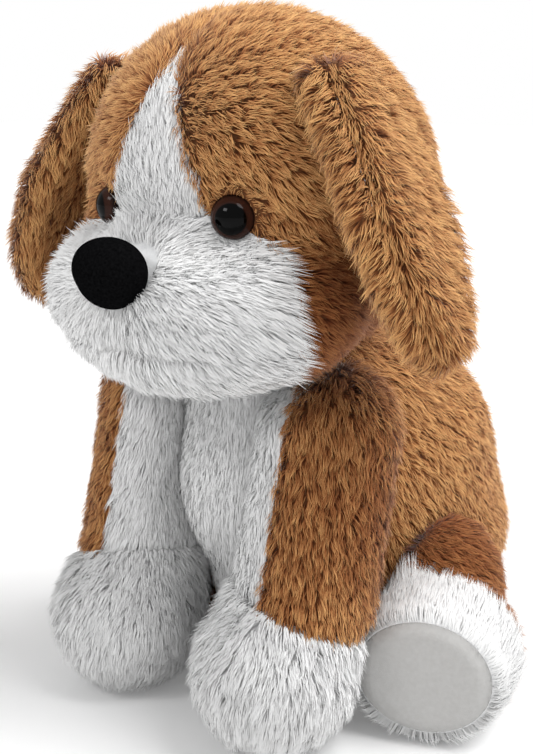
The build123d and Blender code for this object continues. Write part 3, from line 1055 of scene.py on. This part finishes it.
FIBRE = cloth_material("fibre_fill", (0.7, 0.7, 0.69), (0.86, 0.86, 0.85), 90, 0.8)
make_stuffing("torso", "body_stuffing")
make_stuffing("head", "head_stuffing")
make_stuffing("tail", "tail_stuffing", 3.0)
for side_name in SIDES:
    make_stuffing(f"ear_{side_name}", f"ear_wadding_{side_name}", 4.0)
    make_stuffing(f"front_leg_{side_name}", f"front_leg_stuffing_{side_name}", 5.0)
    make_stuffing(f"hind_leg_{side_name}", f"hind_leg_stuffing_{side_name}", 5.0)


def make_label():
    """Blank satin care label, sewn in at its top edge and curling a little away from the pile."""
    low, high = span("sewn_label")
    wide, tall = high[0] - low[0], high[2] - low[2]
    columns, rows = 12, 16
    verts, faces = [], []
    for r in range(rows + 1):
        drop = r / rows
        for c in range(columns + 1):
            across = c / columns - 0.5
            curl = 7.0 * drop**1.6 + 1.6 * drop * math.cos(2 * math.pi * across) - 1.0
            x = across * wide * (1 - 0.03 * drop)
            verts.append((x, high[1] + curl, high[2] - drop * tall * 0.93))
    for r in range(rows):
        for c in range(columns):
            a = r * (columns + 1) + c
            faces.append((a, a + 1, a + columns + 2, a + columns + 1))
    label = mesh_object("care_label", verts, faces)
    smooth_shade(label)
    thicken(label, 0.35)
    label.data.materials.append(SATIN)
    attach(label, "torso")
    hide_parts("sewn_label")


SATIN = cloth_material("label_satin", (0.82, 0.82, 0.82), (0.88, 0.88, 0.88), 1500, 0.3, 0.45)
make_label()


def dress_cad_nodes():
    """The hidden pieces that stay as the CAD gives them: neck fill, washers, pellet bag and thread."""
    looks = {
        "fibre_fill": FIBRE,
        "pellets": cloth_material("pellet_bag_cloth", (0.55, 0.55, 0.52), (0.7, 0.7, 0.67), 300, 0.6),
        "washer_plastic": cloth_material(
            "washer_plastic", (0.7, 0.7, 0.7), (0.78, 0.78, 0.78), 60, 0.05, 0.4),
        "thread": cloth_material("sewing_thread", (0.16, 0.07, 0.03), (0.26, 0.12, 0.05), 2000, 0.8),
    }
    for node, ob in frame["nodes"].items():
        if ob.hide_render:
            continue
        ob.data.materials.clear()
        ob.data.materials.append(looks[slot_of(node)])


dress_cad_nodes()


# ---- stage, light and camera --------------------------------------------------------------
FLOOR_HALF = 6.0
CAMERA_PLACE = (0.4006, -0.5464, 0.3207)
CAMERA_FORWARD = (-0.63097, 0.73702, -0.24222)
CAMERA_LENS = 58.6
SENSOR_WIDTH = 36


def by_ray(tree, others, camera, socket):
    """Sets a strength that the camera's own rays see differently from all others."""
    path = tree.nodes.new("ShaderNodeLightPath")
    seen = tree.nodes.new("ShaderNodeMapRange")
    seen.inputs["To Min"].default_value = others
    seen.inputs["To Max"].default_value = camera
    tree.links.new(path.outputs["Is Camera Ray"], seen.inputs["Value"])
    tree.links.new(seen.outputs["Result"], socket)


def make_stage():
    """Pale floor and even white surroundings, in metres."""
    a = FLOOR_HALF
    mesh = bpy.data.meshes.new("floor")
    mesh.from_pydata([(-a, -a, 0), (a, -a, 0), (a, a, 0), (-a, a, 0)], [], [(0, 1, 2, 3)])
    floor = bpy.data.objects.new("floor", mesh)
    bpy.context.scene.collection.objects.link(floor)
    mat, tree, shader = new_material("pale_floor", 0.9, 0.1)
    shader.inputs["Base Color"].default_value = (0.8, 0.8, 0.8, 1)
    shader.inputs["Emission Color"].default_value = (1, 1, 1, 1)
    by_ray(tree, 0.0, 0.16, shader.inputs["Emission Strength"])
    mesh.materials.append(mat)
    world = bpy.data.worlds.new("studio")
    bpy.context.scene.world = world
    world.use_nodes = True
    tree = world.node_tree
    background = tree.nodes["Background"]
    background.inputs["Color"].default_value = (1, 1, 1, 1)
    by_ray(tree, 0.57, 1.0, background.inputs["Strength"])
    bpy.context.scene.view_settings.view_transform = "Standard"


def add_softbox(name, place, target, size, power):
    light = bpy.data.lights.new(name, "AREA")
    light.shape = "RECTANGLE"
    light.size, light.size_y = size
    light.energy = power
    ob = bpy.data.objects.new(name, light)
    ob.location = place
    ob.rotation_euler = (Vector(target) - Vector(place)).to_track_quat("-Z", "Y").to_euler()
    bpy.context.scene.collection.objects.link(ob)


def add_sun(name, toward, strength, angle):
    light = bpy.data.lights.new(name, "SUN")
    light.energy = strength
    light.angle = math.radians(angle)
    ob = bpy.data.objects.new(name, light)
    ob.rotation_euler = Vector(toward).to_track_quat("Z", "Y").to_euler()
    bpy.context.scene.collection.objects.link(ob)


def make_camera():
    data = bpy.data.cameras.new("camera")
    data.lens = CAMERA_LENS
    data.sensor_width = SENSOR_WIDTH
    camera = bpy.data.objects.new("camera", data)
    camera.location = CAMERA_PLACE
    camera.rotation_euler = Vector(CAMERA_FORWARD).to_track_quat("-Z", "Y").to_euler()
    bpy.context.scene.collection.objects.link(camera)
    bpy.context.scene.camera = camera


make_stage()
add_sun("overhead", (0.6, 0.25, 1.0), 2.75, 40)
add_softbox("front", (-0.1, -0.9, 0.8), (0, -0.08, 0.18), (0.3, 0.2), 2.2)
make_camera()
